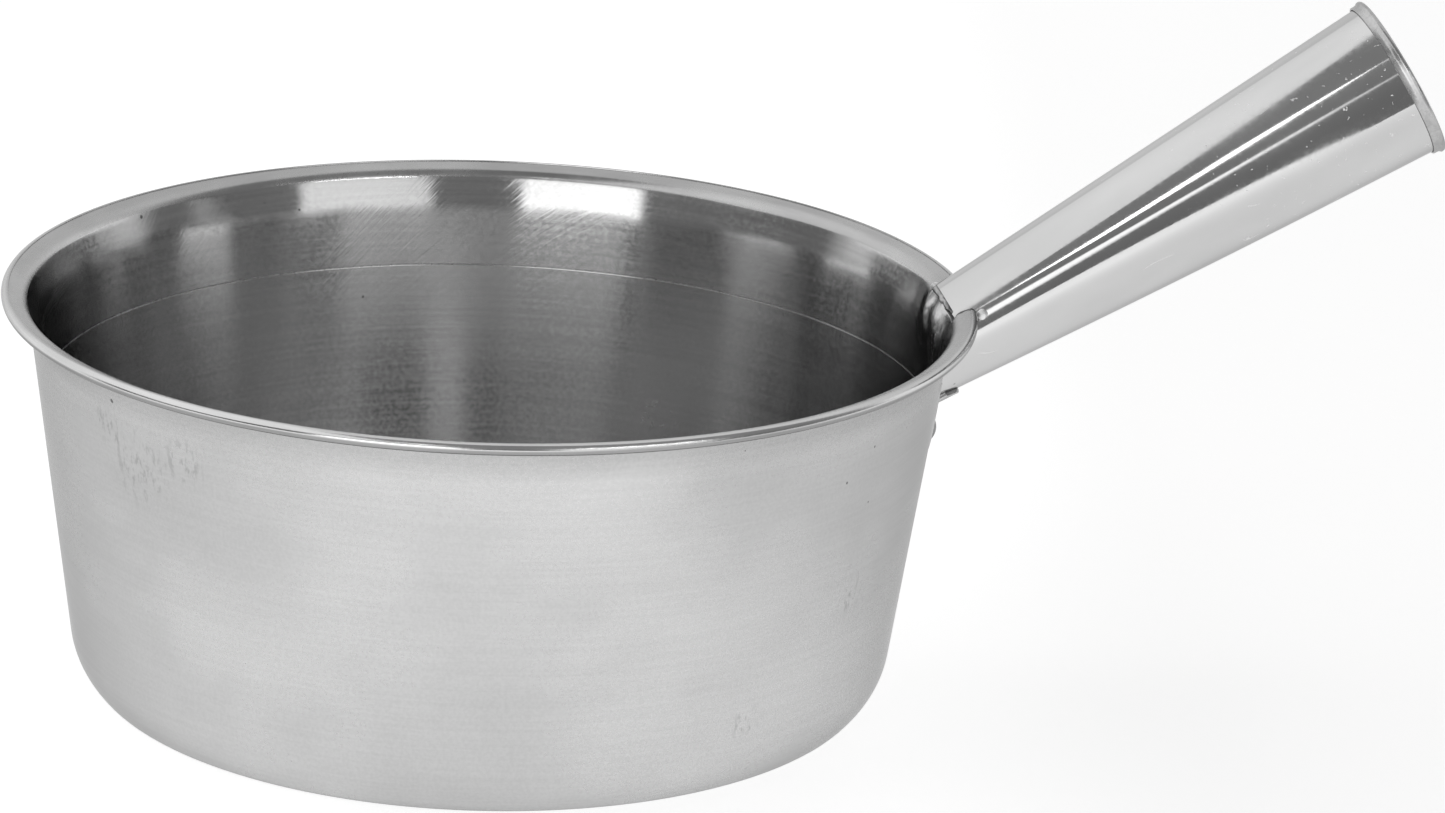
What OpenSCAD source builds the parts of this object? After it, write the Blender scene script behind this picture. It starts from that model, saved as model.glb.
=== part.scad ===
// Melting pot: a drawn sheet-metal pot with a flared, curled rim and a hollow
// conical handle. The handle is cut to fit the wall and rim, held by a saddle
// bracket with two rivets, welded to the wall and rim, and closed by a pressed cap.
// Millimetres. Origin: centre of the base. +Z up, handle towards +X.

/* [Pot] */
// Diameter over the curled rim
rim_d = 200; // [196:1:206]
// Height from the base to the top of the rim
pot_h = 83; // [80:1:90]
// Thickness of the pot's sheet
pot_sheet = 0.8; // [0.6:0.1:1]
// Slope of the wall away from vertical, in degrees
wall_tilt = 7.65; // [6:0.05:9]
// Outside radius of the tight bend beside the base
base_bend_r = 4; // [3:0.5:6]
// Outside radius of the wider bend above it
corner_bend_r = 16; // [14:1:20]
// Angle below horizontal where the two bends meet, in degrees
bend_change = 43; // [38:1:50]

/* [Rim] */
// Height of the steeper collar and flange above the crease
collar_h = 8.6; // [8:0.1:9.5]
// Outside diameter of the wall at the crease
crease_d = 187.8; // [187:0.1:188.6]
// Slope of the collar away from vertical, in degrees
collar_tilt = 15; // [12:1:18]
// Slope of the flange above horizontal, in degrees
flange_tilt = 18; // [14:1:22]
// Radius of the bend between collar and flange
flange_bend_r = 2.6; // [2:0.1:3]
// Thickness of the curled edge
curl_d = 2.4; // [2.2:0.1:2.6]
// Angle from the handle to the free end of the flange on its -Y side, in degrees
notch_turn = 8; // [7.5:0.25:9]

/* [Handle] */
// Slope of the handle above horizontal, in degrees
handle_tilt = 31; // [29:0.5:33]
// Distance of the handle's reference point from the pot's axis
handle_x = 95; // [95:0.5:96]
// Height of the handle's reference point above the base
handle_z = 71.4; // [70.5:0.1:72]
// Outside diameter at the reference point
handle_root_d = 20.8; // [20:0.1:21.5]
// Outside diameter at the far end
handle_end_d = 34.1; // [32:0.1:36]
// Length from the reference point to the far end of the cap
handle_len = 110.9; // [95:0.5:125]
// Thickness of the handle's sheet
handle_sheet = 0.8; // [0.6:0.1:1]
// Distance of the square-cut upper edge from the reference point
upper_cut = 4.7; // [4.4:0.1:5]
// Width of the welded seam's groove along the underside
seam_w = 0.5; // [0.3:0.1:0.8]
// Depth of that groove
seam_depth = 0.3; // [0.2:0.05:0.4]

/* [End cap] */
// Length of the cap's skirt
cap_skirt = 2.7; // [2.4:0.1:3.5]
// Diameter over the cap's flared end
cap_d = 35.8; // [35.4:0.1:37]
// Thickness of the cap's face
cap_face = 0.8; // [0.6:0.1:1]
// Radius of the cap's outer edge
cap_edge_r = 0.6; // [0.4:0.1:0.7]

/* [Bracket] */
// Thickness of the bracket
bracket_t = 0.9; // [0.7:0.1:1.2]
// Width of the bracket across the wall
bracket_w = 26; // [24:1:30]
// Height of the bracket's lower edge
bracket_low = 48.5; // [47.5:0.5:49]
// Height of the bracket's upper edge
bracket_high = 66; // [64:0.5:68]
// Radius of the bracket's lower corners
bracket_corner_r = 7.5; // [6:0.5:8]
// Half of the angle that the tongue covers round the handle, in degrees
tongue_half = 38; // [30:1:42]
// Where the tongue ends, measured along the handle from the reference point
tongue_end = -2; // [-5:0.5:1]

/* [Rivets] */
// Distance between the two rivets
rivet_gap = 16; // [15:0.5:18]
// Height of the rivets
rivet_z = 55; // [54:0.5:55.5]
// Diameter of the rivets' shanks
rivet_d = 3.2; // [2.8:0.1:3.4]
// Diameter of the rivets' heads
rivet_head_d = 5.5; // [5:0.1:6]
// Height of the outer heads
rivet_head_h = 1.15; // [0.9:0.05:1.5]
// Height of the inner heads
rivet_tail_h = 0.8; // [0.6:0.05:1.2]

/* [Welds] */
// Thickness of the weld along the handle's upper edge
weld_d = 1.3; // [1.1:0.1:1.5]
// Half of the angle that this weld covers round the handle, in degrees
weld_half = 42; // [36:1:46]
// Thickness of the two tacks between the flange and the handle
tack_d = 1.8; // [1.6:0.1:2]

/* [Hidden] */

$fn = 128;
arc_steps = 8;
half = pot_sheet / 2;
far = 200;
touch = 0.05;
rivet_hole_d = rivet_d + touch;

function unit(a) = [cos(a), sin(a)];
function arc(c, r, from, to) = [for (i = [0:arc_steps]) c + r * unit(from + (to - from) * i / arc_steps)];
function backwards(list) = [for (i = [len(list) - 1:-1:0]) list[i]];

// The sheet's middle surface, from the base up to the curl. Normals point out of the pot.
wall_normal = unit(-wall_tilt);
collar_normal = unit(-collar_tilt);
flange_up = unit(90 + flange_tilt);
crease_outer = [crease_d / 2, pot_h - collar_h];
crease = crease_outer - half * wall_normal;
crease_mitre = (wall_normal + collar_normal) / (1 + wall_normal * collar_normal);

base_x = (wall_normal * crease_outer - corner_bend_r
          + sin(wall_tilt) * (base_bend_r + (corner_bend_r - base_bend_r) * sin(bend_change))) / cos(wall_tilt)
         + (corner_bend_r - base_bend_r) * cos(bend_change);
base_bend = [base_x, base_bend_r];
corner_bend = base_bend + (corner_bend_r - base_bend_r) * unit(180 - bend_change);

curl = [rim_d / 2 - curl_d / 2, pot_h - curl_d / 2];
curl_step = 0.15;
flange_end = curl + (curl_d / 2 - half - curl_step) * flange_up;
turn = flange_bend_r * [cos(collar_tilt) - sin(flange_tilt), cos(flange_tilt) - sin(collar_tilt)];
reach = flange_end - crease - turn;
collar_len = (reach.y * cos(flange_tilt) - reach.x * sin(flange_tilt)) / cos(collar_tilt + flange_tilt);
collar_top = crease + collar_len * [sin(collar_tilt), cos(collar_tilt)];
flange_bend = collar_top + flange_bend_r * collar_normal;

// The path of the wall, offset outwards by s from the middle surface.
function wall_path(s) = concat(
    [[0, half - s]],
    arc(base_bend, base_bend_r - half + s, -90, -bend_change),
    arc(corner_bend, corner_bend_r - half + s, -bend_change, -wall_tilt),
    [crease + s * crease_mitre, collar_top + s * collar_normal]);
function rim_path(s) = concat(
    arc(flange_bend, flange_bend_r - s, 180 - collar_tilt, 90 + flange_tilt),
    [flange_end - s * flange_up]);

// Everything inside the wall's outer surface plus a gap, up to the given height.
module wall_inside(gap, top) {
    outer = wall_path(half + gap);
    last = outer[len(outer) - 1];
    rotate_extrude() polygon(concat(outer, [[last.x, top], [0, top]]));
}

module wall_and_rim() {
    rotate_extrude() {
        polygon(concat(wall_path(half), rim_path(half), backwards(rim_path(-half)), backwards(wall_path(-half))));
        translate(curl) circle(d = curl_d, $fn = 48);
    }
}

// The handle's own frame: +Z along its axis, origin at the reference point, +X towards its underside.
module along_handle() translate([handle_x, 0, handle_z]) rotate([0, 90 - handle_tilt, 0]) children();

handle_slope = (handle_end_d - handle_root_d) / 2 / handle_len;
handle_half_angle = atan(handle_slope);
tube_end = handle_len - cap_face - touch;
inside_start = -40;
function handle_r(t) = handle_root_d / 2 + handle_slope * t;

// A solid cone on the handle's axis, its surface moved out by gap.
module handle_cone(gap, from, to)
    along_handle() translate([0, 0, from])
        cylinder(h = to - from, r1 = handle_r(from) + gap, r2 = handle_r(to) + gap);

// The strip of wall that stands up inside the handle, where the flange is cut away.
module upright_tab()
    intersection() {
        rotate_extrude() translate([collar_top.x - half, collar_top.y - 1])
            square([pot_sheet, pot_h - collar_top.y]);
        handle_cone(-handle_sheet - touch, inside_start, 40);
    }

// The gap in the flange. It leaves a free, rounded end on the -Y side of the handle;
// on the other side the flange runs on until it meets the handle.
module flange_notch() {
    flange_w = rim_d / 2 - collar_top.x - half;
    tip_r = flange_w / 2;
    tip_x = rim_d / 2 - tip_r;
    tip_turn = notch_turn + asin(tip_r / tip_x);
    translate([0, 0, collar_top.y]) linear_extrude(pot_h) difference() {
        polygon([[0, 0], rim_d * unit(-tip_turn), [rim_d, 0]]);
        circle(collar_top.x + half);
        translate(tip_x * unit(-tip_turn)) circle(tip_r);
    }
    intersection() {
        handle_cone(touch, inside_start, 40);
        translate([0, 0, collar_top.y]) linear_extrude(pot_h) difference() {
            circle(rim_d);
            circle(collar_top.x + half);
        }
    }
}

module pot_body() color("silver")
    difference() {
        union() {
            difference() {
                wall_and_rim();
                flange_notch();
            }
            upright_tab();
        }
        at_rivets() cylinder(h = 12, d = rivet_hole_d, center = true);
    }

module handle_tube() color("gainsboro")
    difference() {
        handle_cone(0, inside_start, tube_end);
        handle_cone(-handle_sheet, inside_start - 1, tube_end + 1);
        wall_inside(touch, collar_top.y + touch);
        intersection() {
            along_handle() translate([-far / 2, -far / 2, upper_cut - far]) cube(far);
            translate([0, -far / 2, collar_top.y]) cube(far);
        }
        seam_groove();
    }

module seam_groove()
    along_handle() translate([handle_r(0), 0, 0]) rotate([0, handle_half_angle, 0])
        translate([-seam_depth, -seam_w / 2, inside_start]) cube([2, seam_w, far]);

module handle_end_cap() color("darkgray") {
    skirt_start = handle_len - cap_skirt;
    inner_start = handle_r(skirt_start) + touch;
    inner_end = handle_r(tube_end) + touch;
    edge = [cap_d / 2 - cap_edge_r, handle_len - cap_edge_r];
    along_handle() rotate_extrude() {
        polygon([[0, tube_end + touch], [inner_end, tube_end + touch], [inner_start, skirt_start],
                 [inner_start + 0.35, skirt_start], edge + cap_edge_r * unit(-14), edge + cap_edge_r * unit(90),
                 [0, handle_len]]);
        translate(edge) circle(r = cap_edge_r, $fn = 32);
    }
}

module handle_bracket() color("lightgray")
    difference() {
        union() {
            wall_plate();
            under_tongue();
        }
        wall_inside(touch, collar_top.y);
        handle_cone(touch, inside_start, 40);
        at_rivets() cylinder(h = 12, d = rivet_hole_d, center = true);
    }

module wall_plate()
    intersection() {
        wall_inside(touch + bracket_t, collar_top.y);
        rotate([90, 0, 90]) linear_extrude(far) plate_outline();
    }

module plate_outline() {
    corner_x = bracket_w / 2 - bracket_corner_r;
    corner_y = bracket_low + bracket_corner_r;
    for (side = [-1, 1]) translate([side * corner_x, corner_y]) circle(bracket_corner_r);
    translate([-corner_x, bracket_low]) square([2 * corner_x, bracket_high - bracket_low]);
    translate([-bracket_w / 2, corner_y]) square([bracket_w, bracket_high - corner_y]);
}

module under_tongue()
    intersection() {
        handle_cone(touch + bracket_t, -12, tongue_end);
        along_handle() translate([0, 0, -far / 2]) linear_extrude(far)
            polygon([[0, 0], 2 * handle_root_d * unit(-tongue_half), 2 * handle_root_d * unit(tongue_half)]);
    }

// Children stand on the wall's outer surface at each rivet, +Z pointing out of the pot.
module at_rivets() {
    wall_r = crease_outer.x - (crease_outer.y - rivet_z) * tan(wall_tilt);
    turn_to = asin(rivet_gap / 2 / wall_r);
    for (side = [-1, 1])
        rotate([0, 0, side * turn_to]) translate([wall_r, 0, rivet_z]) rotate([0, 90 + wall_tilt, 0]) children();
}

module dome(d, h) {
    ball_r = (d * d / 4 + h * h) / (2 * h);
    intersection() {
        translate([0, 0, h - ball_r]) sphere(ball_r);
        cylinder(h = ball_r, d = d + 1);
    }
}

module bracket_rivets() color("gray") {
    head_seat = bracket_t + touch;
    tail_seat = pot_sheet + touch;
    at_rivets() {
        translate([0, 0, -tail_seat]) cylinder(h = tail_seat + head_seat, d = rivet_d);
        translate([0, 0, head_seat]) dome(rivet_head_d, rivet_head_h);
        translate([0, 0, -tail_seat]) mirror([0, 0, 1]) dome(rivet_head_d, rivet_tail_h);
    }
}

// A round bead of weld between two points, d thick, with tapered ends.
module bead(from, to, d) {
    run = to - from;
    length = norm(run);
    translate(from) rotate([0, acos(run.z / length), atan2(run.y, run.x)])
        rotate_extrude()
            polygon([[0, 0], [d / 5, 0], [d / 2, d / 2], [d / 2, length - d / 2], [d / 5, length], [0, length]]);
}

module joint_welds() color("whitesmoke") {
    edge_r = handle_r(upper_cut) - handle_sheet / 2;
    along_handle() translate([0, 0, upper_cut]) rotate([0, 0, 180 - weld_half])
        rotate_extrude(angle = 2 * weld_half) translate([edge_r, 0]) circle(d = weld_d, $fn = 32);
    bead([97.8, -15.6, pot_h - 1.5], [101.4, -9.6, pot_h - 2.8], tack_d);
    bead([94.6, 5.2, pot_h - 1.6], [95.9, 7.9, pot_h - 1.9], tack_d);
}

pot_body();
handle_tube();
handle_end_cap();
handle_bracket();
bracket_rivets();
joint_welds();
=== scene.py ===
"""Looks for a melting pot: a drawn steel pot with a flared, curled rim and a hollow conical handle.

Lengths are in millimetres until a mesh is made, then in metres. Angles are in degrees.
The handle points towards +X. Its own frame has t along its axis and side 0 on its underside.
"""

import math

import bpy
from mathutils import Matrix, Vector, noise


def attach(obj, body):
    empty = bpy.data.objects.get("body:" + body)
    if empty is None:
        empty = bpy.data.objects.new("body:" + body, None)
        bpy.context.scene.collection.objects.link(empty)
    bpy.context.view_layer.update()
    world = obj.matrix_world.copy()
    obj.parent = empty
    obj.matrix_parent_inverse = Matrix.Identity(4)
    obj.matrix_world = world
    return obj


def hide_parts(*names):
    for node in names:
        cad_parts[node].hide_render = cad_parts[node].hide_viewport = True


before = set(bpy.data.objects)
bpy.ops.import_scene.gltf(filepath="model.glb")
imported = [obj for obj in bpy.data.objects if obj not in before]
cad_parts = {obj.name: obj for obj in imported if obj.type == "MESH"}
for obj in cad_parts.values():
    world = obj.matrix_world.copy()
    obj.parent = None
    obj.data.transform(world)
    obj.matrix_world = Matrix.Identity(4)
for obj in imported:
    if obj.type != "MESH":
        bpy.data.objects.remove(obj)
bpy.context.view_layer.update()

MM = 0.001

# The pot's profile, as in the CAD part.
RIM_R = 100.0
POT_H = 83.0
HALF = 0.4
WALL_TILT = 7.65
BASE_BEND_R = 4.0
CORNER_BEND_R = 16.0
BEND_CHANGE = 43.0
CREASE_OUTER = Vector((93.9, 74.4))
COLLAR_TILT = 15.0
FLANGE_TILT = 18.0
FLANGE_BEND_R = 2.6
CURL_R = 1.2
CURL_STEP = 0.15
NOTCH_TURN = 8.0

# The handle, its cap, bracket and rivets, as in the CAD part.
HANDLE_TILT = 31.0
HANDLE_X = 95.0
HANDLE_Z = 71.4
HANDLE_ROOT_R = 10.4
HANDLE_END_R = 17.05
HANDLE_LEN = 110.9
HANDLE_SHEET = 0.8
UPPER_CUT = 4.7
CAP_SKIRT = 2.7
CAP_R = 17.9
CAP_FACE = 0.8
BRACKET_T = 0.9
BRACKET_HALF_W = 13.0
BRACKET_LOW = 48.5
BRACKET_HIGH = 66.0
BRACKET_CORNER_R = 7.5
TONGUE_HALF = 38.0
TONGUE_END = -2.0
RIVET_Z = 55.0
RIVET_GAP = 16.0
RIVET_HEAD_R = 2.75
RIVET_HEAD_H = 1.15
RIVET_TAIL_H = 0.8
GAP = 0.05
TINY = 1e-6


def sin(a):
    return math.sin(math.radians(a))


def cos(a):
    return math.cos(math.radians(a))


def unit(a):
    return Vector((cos(a), sin(a)))


def blend01(x, low, high):
    """0 below low, 1 above high, smooth between them."""
    t = min(max((x - low) / (high - low), 0.0), 1.0)
    return t * t * (3 - 2 * t)


def mix(a, b, t):
    return a + (b - a) * t


def arc(centre, radius, start, end, steps):
    return [centre + radius * unit(mix(start, end, i / steps)) for i in range(steps + 1)]


def line(a, b, steps):
    return [a.lerp(b, i / steps) for i in range(steps + 1)]


def joined(*paths):
    """One path from several that meet end to end."""
    points = list(paths[0])
    for path in paths[1:]:
        points += [p for i, p in enumerate(path) if i or (p - points[-1]).length > TINY]
    return points


def normals(path):
    """The normal on the right of a path, at each of its points."""
    found = []
    for i in range(len(path)):
        along = path[min(i + 1, len(path) - 1)] - path[max(i - 1, 0)]
        found.append(Vector((along.y, -along.x)).normalized())
    return found


def relaxed(path, start, end, times):
    """The path with its points from start to end moved towards their neighbours, to soften a crease."""
    points = [p.copy() for p in path]
    for _ in range(times):
        points = [
            (points[i - 1] + 2 * points[i] + points[i + 1]) / 4 if start <= i <= end else points[i]
            for i in range(len(points))
        ]
    return points


def add_piece(name, vertices, faces, slot, *nodes, sharp=40.0):
    """A smooth-shaded mesh piece from millimetre vertices, riding on the root in place of CAD nodes."""
    mesh = bpy.data.meshes.new(name)
    mesh.from_pydata([Vector(v) * MM for v in vertices], [], faces)
    mesh.validate()
    mesh.shade_smooth()
    mesh.set_sharp_from_angle(angle=math.radians(sharp))
    piece = bpy.data.objects.new(name, mesh)
    bpy.context.scene.collection.objects.link(piece)
    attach(piece, "root")
    if nodes:
        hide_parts(*nodes)
    return piece


def ring_faces(rows, columns, closed=True):
    """Quads between neighbouring rows of a grid whose rows are rings of columns points."""
    faces = []
    for i in range(rows - 1):
        for j in range(columns if closed else columns - 1):
            k = (j + 1) % columns
            faces.append((i * columns + j, i * columns + k, (i + 1) * columns + k, (i + 1) * columns + j))
    return faces


# ---------------------------------------------------------------- pot body

WALL_NORMAL = unit(-WALL_TILT)
COLLAR_NORMAL = unit(-COLLAR_TILT)
FLANGE_UP = unit(90 + FLANGE_TILT)
CREASE = CREASE_OUTER - HALF * WALL_NORMAL
CURL = Vector((RIM_R - CURL_R, POT_H - CURL_R))
FLANGE_END = CURL + (CURL_R - HALF - CURL_STEP) * FLANGE_UP
BEND_TURN = FLANGE_BEND_R * Vector((
    cos(COLLAR_TILT) - sin(FLANGE_TILT), cos(FLANGE_TILT) - sin(COLLAR_TILT)
))
REACH = FLANGE_END - CREASE - BEND_TURN
COLLAR_LEN = (REACH.y * cos(FLANGE_TILT) - REACH.x * sin(FLANGE_TILT)) / cos(COLLAR_TILT + FLANGE_TILT)
COLLAR_TOP = CREASE + COLLAR_LEN * Vector((sin(COLLAR_TILT), cos(COLLAR_TILT)))
FLANGE_BEND = COLLAR_TOP + FLANGE_BEND_R * COLLAR_NORMAL
BASE_X = (
    WALL_NORMAL.dot(CREASE_OUTER) - CORNER_BEND_R
    + sin(WALL_TILT) * (BASE_BEND_R + (CORNER_BEND_R - BASE_BEND_R) * sin(BEND_CHANGE))
) / cos(WALL_TILT) + (CORNER_BEND_R - BASE_BEND_R) * cos(BEND_CHANGE)
BASE_BEND = Vector((BASE_X, BASE_BEND_R))
CORNER_BEND = BASE_BEND + (CORNER_BEND_R - BASE_BEND_R) * unit(180 - BEND_CHANGE)

TIP_R = (RIM_R - COLLAR_TOP.x - HALF) / 2
TIP_X = RIM_R - TIP_R
TIP_TURN = NOTCH_TURN + math.degrees(math.asin(TIP_R / TIP_X))
# On the handle's other side the flange runs on to about this azimuth, where it meets the handle.
MEET_TURN = 4.5

# The wall is pressed in at the handle in two hollows: azimuth, reach in degrees and depth of each.
HOLLOWS = ((3.2, 2.3, 1.5), (-2.4, 3.4, 1.7))

# The handle's mouth above the rim, where a strip of wall stands up inside it.
MOUTH_R = HANDLE_ROOT_R + 0.28 - HANDLE_SHEET
MOUTH_Z = 73.4

# The pot's three finishes, as the places of its materials.
OUTSIDE, RIM, INSIDE = range(3)


def wall_mid_path():
    """The middle of the sheet from the base's centre up to the collar's top."""
    base = line(Vector((0, HALF)), Vector((BASE_X, HALF)), 26)
    tight = arc(BASE_BEND, BASE_BEND_R - HALF, -90, -BEND_CHANGE, 6)
    wide = arc(CORNER_BEND, CORNER_BEND_R - HALF, -BEND_CHANGE, -WALL_TILT, 10)
    wall = line(wide[-1], CREASE, 44)
    collar = line(CREASE, COLLAR_TOP, 8)
    path = joined(base, tight, wide, wall, collar)
    crease_row = len(path) - len(collar)
    return relaxed(path, crease_row - 3, crease_row + 3, 3)


def rim_mid_path():
    """The middle of the sheet from just past the collar's top to the curl."""
    bend = arc(FLANGE_BEND, FLANGE_BEND_R, 180 - COLLAR_TILT, 90 + FLANGE_TILT, 9)
    return joined(bend, line(bend[-1], FLANGE_END, 3))


def rim_loop():
    """The rim's closed outline: out along its underside, round the curl and back along its top."""
    mid = rim_mid_path()
    side = normals(mid)
    under = [p + HALF * n for p, n in zip(mid, side)][1:]
    over = [p - HALF * n for p, n in zip(mid, side)][1:]
    under = [p for p in under if (p - CURL).length > CURL_R + 0.05]
    first = math.degrees(math.atan2(under[-1].y - CURL.y, under[-1].x - CURL.x)) % 360 + 12
    last = 360 + 90 + FLANGE_TILT - 4
    curl = arc(CURL, CURL_R, first, last, 26)
    return under, curl, over[::-1]


def dent(phi, z):
    """How far the wall is pressed in at the handle: two hollows side by side with a fold between."""
    fold = 0.5 * noise.noise(Vector((phi * 0.45, z * 0.25, 4.0)))
    depth = fold * math.exp(-((phi / 6.0) ** 2))
    depth += sum(deep * math.exp(-(((phi - middle) / reach) ** 2)) for middle, reach, deep in HOLLOWS)
    return depth * blend01(z, 66.0, 76.5) * (1 - 0.75 * blend01(z, 76.5, 82.0))


def waviness(phi, r, z):
    """The slight unevenness of hand-worked sheet, strongest along the crease."""
    where = Vector((r * cos(phi) / 26.0, r * sin(phi) / 26.0, z / 40.0))
    slow = noise.noise(where)
    crease = math.exp(-(((z - CREASE.y) / 5.0) ** 2))
    fine = noise.noise(where * 3.4 + Vector((7.0, 3.0, 1.0)))
    return 0.035 * slow * blend01(z, 10.0, 40.0) + 0.09 * crease * fine


def placed(p, phi, turn=0.0):
    """A profile point at azimuth phi, with the pot's unevenness. turn moves it along the rim."""
    r = p.x
    if p.y > 6.0:
        signed = phi - 360 if phi > 180 else phi
        r += waviness(phi, p.x, p.y) - dent(signed, p.y) * (1 - blend01(p.x, 94.6, 96.4))
    return (r * cos(phi + turn), r * sin(phi + turn), p.y)


def tab_top(phi):
    """Height of the wall's upper edge where the flange is cut away. It stands up inside the handle."""
    y = COLLAR_TOP.x * sin(phi)
    if abs(y) >= MOUTH_R:
        return COLLAR_TOP.y
    return max(COLLAR_TOP.y, MOUTH_Z + math.sqrt(MOUTH_R * MOUTH_R - y * y) * cos(HANDLE_TILT))


def lifted(p, phi):
    """A collar point of the notch, raised so that the wall reaches the tab's top."""
    top = tab_top(phi)
    share = (p.y - CREASE.y) / (COLLAR_TOP.y - CREASE.y)
    if share <= 0 or top <= COLLAR_TOP.y:
        return p
    return Vector((p.x, p.y + share * (top - COLLAR_TOP.y)))


def tip_turn(r):
    """Azimuth of the flange's free end at radius r, counted from the handle: the end is round."""
    d = min(abs(r - TIP_X) / TIP_R, 1.0)
    return TIP_TURN - math.degrees(TIP_R * math.sqrt(1 - d * d) / TIP_X)


def meet_turn(p):
    """Azimuth at which a profile point of the flange touches the handle's surface."""
    low, high = 0.0, 12.0
    for _ in range(30):
        phi = (low + high) / 2
        away = Vector((p.x * cos(phi), p.x * sin(phi), p.y)) - ORIGIN
        t = away.dot(AXIS)
        if (away - AXIS * t).length < handle_r(t):
            low = phi
        else:
            high = phi
    return high


def azimuths():
    """Columns round the pot from the flange's end at the handle to its free end, then across the notch."""
    medium_step, fine_step, spare = 0.35, 0.11, 0.3
    around = [MEET_TURN + medium_step * i for i in range(34)]
    around += [float(a) for a in range(math.ceil(around[-1] + spare), 344)]
    fine = [360 - TIP_TURN - fine_step * i for i in range(10)]
    medium = [fine[-1] - medium_step * i for i in range(1, 60)]
    around += [a for a in medium[::-1] if a > around[-1] + spare] + fine[::-1]
    notch = [mix(-TIP_TURN, MEET_TURN, i / 48) for i in range(1, 48)]
    return around, notch


def build_pot():
    """The shell: columns round the wall and rim, the wall in the notch, and the flange's two ends."""
    mid = wall_mid_path()
    side = normals(mid)
    side[0] = Vector((0, -1))
    outer = [p + HALF * n for p, n in zip(mid, side)]
    inner = [p - HALF * n for p, n in zip(mid, side)]
    under, curl, over = rim_loop()
    rim = under + curl + over
    edge_steps = 6
    around, notch = azimuths()
    vertices, faces, kinds = [], [], []

    def add(point):
        vertices.append(point)
        return len(vertices) - 1

    base_low, base_high = add((0, 0, outer[0].y)), add((0, 0, inner[0].y))

    def wall_column(phi, in_notch):
        shape = (lambda p: lifted(p, phi)) if in_notch else (lambda p: p)
        return (
            [add(placed(shape(p), phi)) for p in outer[1:]],
            [add(placed(shape(p), phi)) for p in inner[1:]],
        )

    def edge_column(phi):
        """The sheet's rounded upper edge in the notch."""
        top = lifted(COLLAR_TOP, phi)
        up = Vector((sin(COLLAR_TILT), cos(COLLAR_TILT)))
        turns = [-90 + 180 * i / (edge_steps + 1) for i in range(1, edge_steps + 1)]
        return [add(placed(top - COLLAR_NORMAL * HALF * sin(a) + up * HALF * cos(a), phi)) for a in turns]

    def rim_column(phi):
        """The flange and curl. Near the notch its columns lean, to follow the end's outline."""
        lean_reach, rounded_reach, rounded_drop = 4.0, 0.9, 0.3
        if phi < 180:
            lean = 1 - blend01(phi - MEET_TURN, 0.0, lean_reach)
            return [add(placed(p, phi, lean * (meet_turn(p) - MEET_TURN))) for p in rim]
        away = 360 - phi - TIP_TURN
        lean = 1 - blend01(away, 0.0, lean_reach)
        over_end = 1 - min(max(away / rounded_reach, 0.0), 1.0)
        drop = Vector((0, rounded_drop * (1 - math.sqrt(1 - over_end ** 2))))
        return [add(placed(p - drop, phi, lean * (TIP_TURN - tip_turn(p.x)))) for p in rim]

    walls = [wall_column(a, False) for a in around]
    rims = [rim_column(a) for a in around]
    notch_walls = [wall_column(a, True) for a in notch]
    notch_edges = [edge_column(a) for a in notch]
    first_edge, last_edge = edge_column(around[0]), edge_column(around[-1])

    def close(face, kind):
        faces.append(face)
        kinds.append(kind)

    def strip(a, b):
        for i in range(len(a) - 1):
            kind = OUTSIDE if i < len(outer) - 2 else INSIDE if i > len(a) - len(inner) - 1 else RIM
            close((a[i], b[i], b[i + 1], a[i + 1]), kind)

    full = [o + r + i[::-1] for (o, i), r in zip(walls, rims)]
    for a, b in zip(full, full[1:]):
        strip(a, b)
    short = [(walls[-1][0], last_edge, walls[-1][1])]
    short += [(o, e, i) for (o, i), e in zip(notch_walls, notch_edges)]
    short += [(walls[0][0], first_edge, walls[0][1])]
    short = [o + e + i[::-1] for o, e, i in short]
    for a, b in zip(short, short[1:]):
        strip(a, b)
    all_walls = walls + notch_walls + [walls[0]]
    for (o1, i1), (o2, i2) in zip(all_walls, all_walls[1:]):
        close((base_low, o2[0], o1[0]), OUTSIDE)
        close((base_high, i1[0], i2[0]), INSIDE)

    def end_face(wall, rim_points, edge, flip):
        """Closes the flange's round end, between its underside and its top."""
        low = rim_points[: len(under)]
        high = rim_points[len(under) + len(curl):][::-1]
        bead = rim_points[len(under): len(under) + len(curl)]
        found = [[wall[0][-1], low[0], low[1], low[2], high[2], high[1], high[0], wall[1][-1]] + edge[::-1]]
        count = min(len(low), len(high))
        for k in range(2, count - 1):
            found.append([low[k], low[k + 1], high[k + 1], high[k]])
        found.append([low[count - 1]] + low[count:] + bead + high[count - 1:][::-1])
        for face in found:
            close(face[::-1] if flip else face, RIM)

    end_face(walls[0], rims[0], first_edge, True)
    end_face(walls[-1], rims[-1], last_edge, False)
    pot = add_piece("pot_shell", vertices, faces, "pot_steel", "pot_body", sharp=50.0)
    pot.data.polygons.foreach_set("material_index", kinds)
    return pot


# ---------------------------------------------------------------- handle

AXIS = Vector((cos(HANDLE_TILT), 0, sin(HANDLE_TILT)))
UNDER = Vector((sin(HANDLE_TILT), 0, -cos(HANDLE_TILT)))
SIDE = Vector((0, 1, 0))
ORIGIN = Vector((HANDLE_X, 0, HANDLE_Z))
SLOPE = (HANDLE_END_R - HANDLE_ROOT_R) / HANDLE_LEN
TUBE_END = HANDLE_LEN - CAP_FACE - GAP


def handle_r(t):
    return HANDLE_ROOT_R + SLOPE * t


def on_handle(t, side, r):
    """The point at distance t along the handle, side degrees round from its underside, radius r."""
    return ORIGIN + AXIS * t + (UNDER * cos(side) + SIDE * sin(side)) * r


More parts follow.
